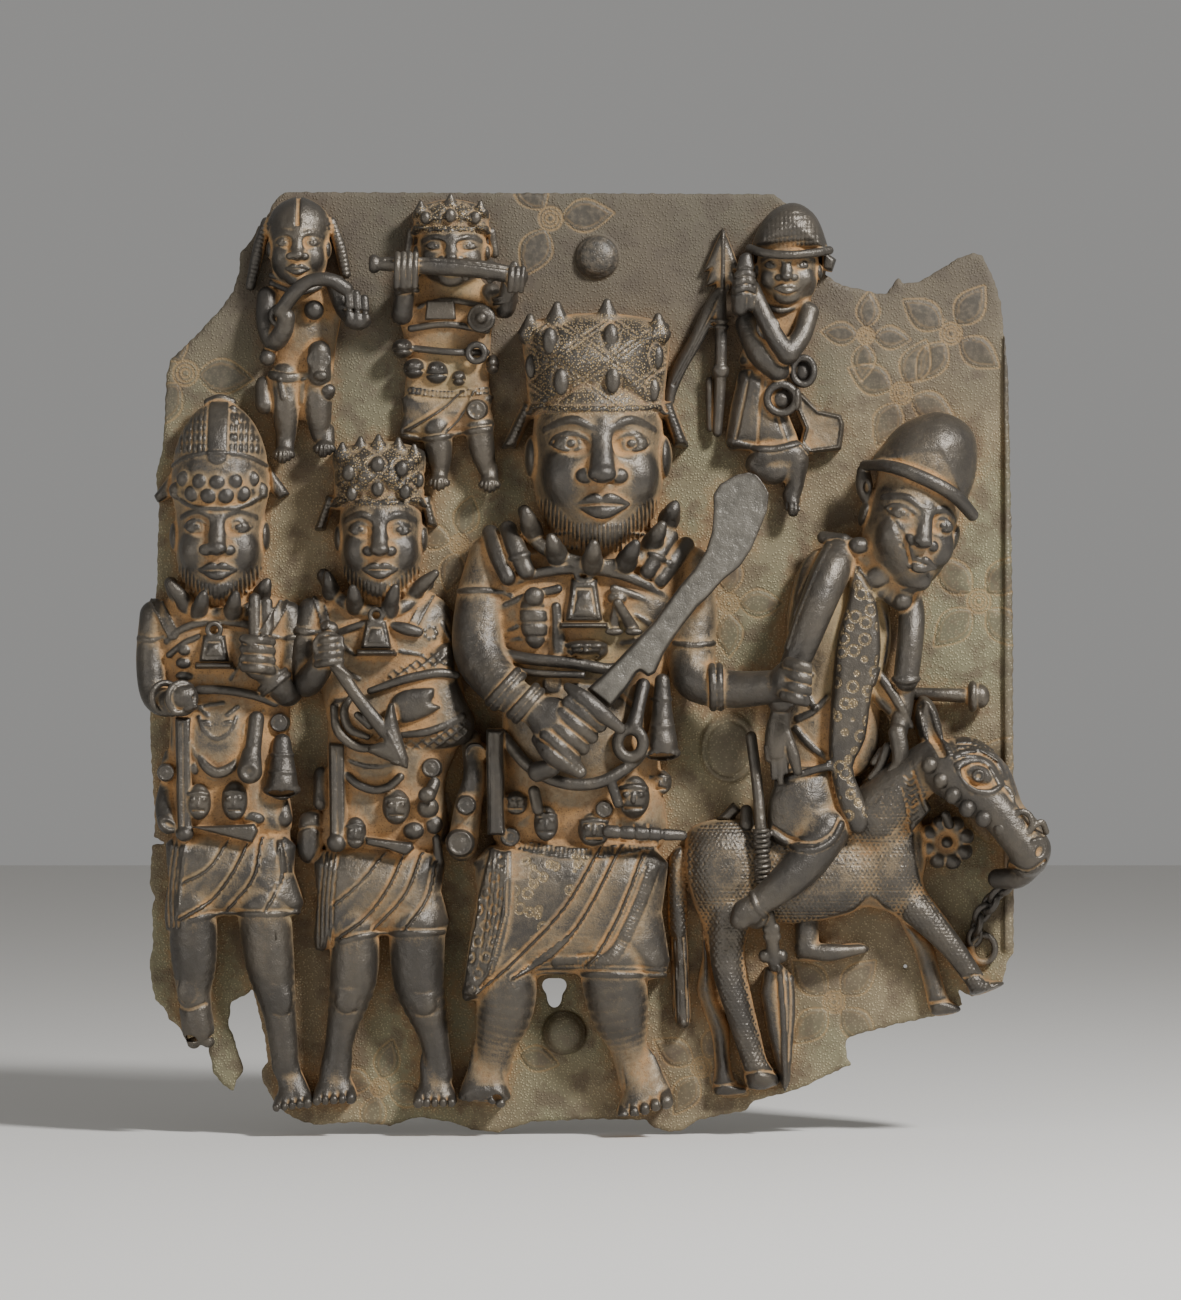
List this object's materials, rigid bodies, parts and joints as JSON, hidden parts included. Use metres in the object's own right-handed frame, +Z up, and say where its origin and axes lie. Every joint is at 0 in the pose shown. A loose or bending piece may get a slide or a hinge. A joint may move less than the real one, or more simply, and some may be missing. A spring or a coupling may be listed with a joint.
{
  "type": "relief plaque",
  "caption": "Cast bronze wall plaque in high relief: a ruler between attendants holds a captive on horseback, with small figures above, on a thin plate with broken edges.",
  "frame": {"origin": "middle of the plate's flat back, where it lies against the wall", "axes": "+Z up, +X to the viewer's right, and the relief faces -Y"},
  "size_m": [0.4538, 0.0639, 0.4745],
  "materials": {
    "patinated_bronze": "dark brown patina, worn satin on the high points, with ochre earth in the hollows"
  },
  "bodies": {
    "root": {"relief_plaque": "patinated_bronze"}
  },
  "joints": []
}
